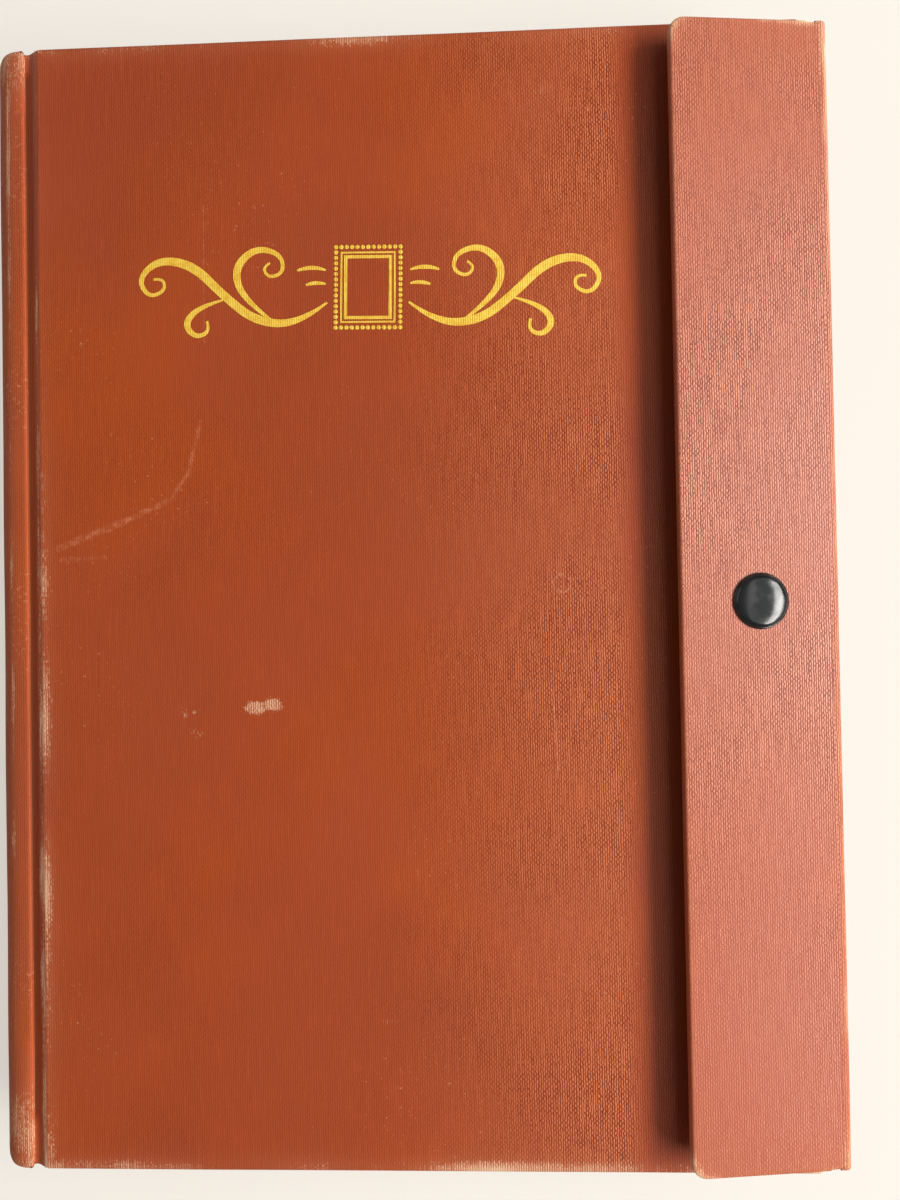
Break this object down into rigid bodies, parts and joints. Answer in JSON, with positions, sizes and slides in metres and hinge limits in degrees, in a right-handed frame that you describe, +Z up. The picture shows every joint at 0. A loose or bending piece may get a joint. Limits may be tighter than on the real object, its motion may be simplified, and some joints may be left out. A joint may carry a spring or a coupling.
{
  "type": "stamp album",
  "caption": "Cloth-bound stock book for stamps, with a flap that folds round the fore edge and snaps shut over the front cover.",
  "frame": {"origin": "centre of the closed album's outline, on the surface that its back cover lies on", "axes": "+Z up through the front cover, +Y to the head of the album, +X to the fore edge and the flap"},
  "size_m": [0.1944, 0.262, 0.0322],
  "materials": {
    "book_cloth": "plain-weave rust-red book cloth, matt and worn pale at the edges",
    "greyboard": "matt grey binder's board",
    "endpaper": "smooth cream endpaper",
    "linen": "unbleached linen",
    "thread": "waxed linen thread",
    "snap_black": "glossy black enamel",
    "snap_metal": "plated steel",
    "leaf_card": "matt cream card",
    "pocket_film": "clear film",
    "glassine": "translucent glassine paper"
  },
  "bodies": {
    "back_cover": {"back_board": "greyboard", "back_cover_cloth": "book_cloth", "back_endpaper": "endpaper", "back_joint_cloth": "book_cloth", "fore_edge_fold_cloth": "book_cloth"},
    "spine": {"spine_liner": "greyboard", "spine_cloth": "book_cloth", "spine_guard": "linen", "sewn_fold": "linen", "sewing_thread": "thread", "front_joint_cloth": "book_cloth"},
    "front_cover": {"front_board": "greyboard", "front_cover_cloth": "book_cloth", "front_endpaper": "endpaper", "snap_stud": "snap_metal", "snap_rivet": "snap_metal"},
    "fore_edge": {"fore_edge_board": "greyboard", "fore_edge_cloth": "book_cloth", "fore_edge_lining": "endpaper", "flap_fold_cloth": "book_cloth"},
    "flap": {"flap_board": "greyboard", "flap_cloth": "book_cloth", "flap_lining": "endpaper", "snap_cap": "snap_black", "snap_socket": "snap_metal", "snap_spring_ring": "snap_metal"},
    "leaf_1": {"leaf_1_card": "leaf_card", "leaf_1_hinge": "linen", "leaf_1_pockets": "pocket_film", "leaf_1_interleaf": "glassine"},
    "leaf_2": {"leaf_2_card": "leaf_card", "leaf_2_hinge": "linen", "leaf_2_pockets": "pocket_film", "leaf_2_interleaf": "glassine"},
    "leaf_3": {"leaf_3_card": "leaf_card", "leaf_3_hinge": "linen", "leaf_3_pockets": "pocket_film", "leaf_3_interleaf": "glassine"},
    "leaf_4": {"leaf_4_card": "leaf_card", "leaf_4_hinge": "linen", "leaf_4_pockets": "pocket_film", "leaf_4_interleaf": "glassine"},
    "leaf_5": {"leaf_5_card": "leaf_card", "leaf_5_hinge": "linen", "leaf_5_pockets": "pocket_film", "leaf_5_interleaf": "glassine"},
    "leaf_6": {"leaf_6_card": "leaf_card", "leaf_6_hinge": "linen", "leaf_6_pockets": "pocket_film", "leaf_6_interleaf": "glassine"},
    "leaf_7": {"leaf_7_card": "leaf_card", "leaf_7_hinge": "linen", "leaf_7_pockets": "pocket_film", "leaf_7_interleaf": "glassine"},
    "leaf_8": {"leaf_8_card": "leaf_card", "leaf_8_hinge": "linen", "leaf_8_pockets": "pocket_film", "leaf_8_interleaf": "glassine"}
  },
  "joints": [
    {"name": "spine_fold", "type": "hinge", "parent": "back_cover", "child": "spine", "pos_m": [-0.08705, 0, 0.0002], "axis": [0, -1, 0], "range_deg": [0, 90], "deforming": ["back_joint_cloth"]},
    {"name": "front_cover_fold", "type": "hinge", "parent": "spine", "child": "front_cover", "pos_m": [-0.08705, 0, 0.0248], "axis": [0, -1, 0], "range_deg": [0, 90], "deforming": ["front_joint_cloth"]},
    {"name": "fore_edge_fold", "type": "hinge", "parent": "back_cover", "child": "fore_edge", "pos_m": [0.097, 0, 0.0002], "axis": [0, 1, 0], "range_deg": [0, 90], "deforming": ["fore_edge_fold_cloth"]},
    {"name": "flap_fold", "type": "hinge", "parent": "fore_edge", "child": "flap", "pos_m": [0.097, 0, 0.028], "axis": [0, 1, 0], "range_deg": [0, 83.5], "deforming": ["flap_fold_cloth"]},
    {"name": "leaf_1_turn", "type": "hinge", "parent": "spine", "child": "leaf_1", "pos_m": [-0.07475, 0, 0.0125], "axis": [0, -1, 0], "range_deg": [0, 90]},
    {"name": "leaf_2_turn", "type": "hinge", "parent": "spine", "child": "leaf_2", "pos_m": [-0.07475, 0, 0.0125], "axis": [0, -1, 0], "range_deg": [0, 90]},
    {"name": "leaf_3_turn", "type": "hinge", "parent": "spine", "child": "leaf_3", "pos_m": [-0.07475, 0, 0.0125], "axis": [0, -1, 0], "range_deg": [0, 90]},
    {"name": "leaf_4_turn", "type": "hinge", "parent": "spine", "child": "leaf_4", "pos_m": [-0.07475, 0, 0.0125], "axis": [0, -1, 0], "range_deg": [0, 90]},
    {"name": "leaf_5_turn", "type": "hinge", "parent": "spine", "child": "leaf_5", "pos_m": [-0.07475, 0, 0.0125], "axis": [0, -1, 0], "range_deg": [-90, 0]},
    {"name": "leaf_6_turn", "type": "hinge", "parent": "spine", "child": "leaf_6", "pos_m": [-0.07475, 0, 0.0125], "axis": [0, -1, 0], "range_deg": [-90, 0]},
    {"name": "leaf_7_turn", "type": "hinge", "parent": "spine", "child": "leaf_7", "pos_m": [-0.07475, 0, 0.0125], "axis": [0, -1, 0], "range_deg": [-90, 0]},
    {"name": "leaf_8_turn", "type": "hinge", "parent": "spine", "child": "leaf_8", "pos_m": [-0.07475, 0, 0.0125], "axis": [0, -1, 0], "range_deg": [-90, 0]}
  ],
  "couplings": [
    {"joint": "front_cover_fold", "follows": "spine_fold", "ratio": 1},
    {"joint": "leaf_1_turn", "follows": "spine_fold", "ratio": 1},
    {"joint": "leaf_2_turn", "follows": "spine_fold", "ratio": 0.99111},
    {"joint": "leaf_3_turn", "follows": "spine_fold", "ratio": 0.98222},
    {"joint": "leaf_4_turn", "follows": "spine_fold", "ratio": 0.97333},
    {"joint": "leaf_5_turn", "follows": "spine_fold", "ratio": -0.97333},
    {"joint": "leaf_6_turn", "follows": "spine_fold", "ratio": -0.98222},
    {"joint": "leaf_7_turn", "follows": "spine_fold", "ratio": -0.99111},
    {"joint": "leaf_8_turn", "follows": "spine_fold", "ratio": -1}
  ]
}
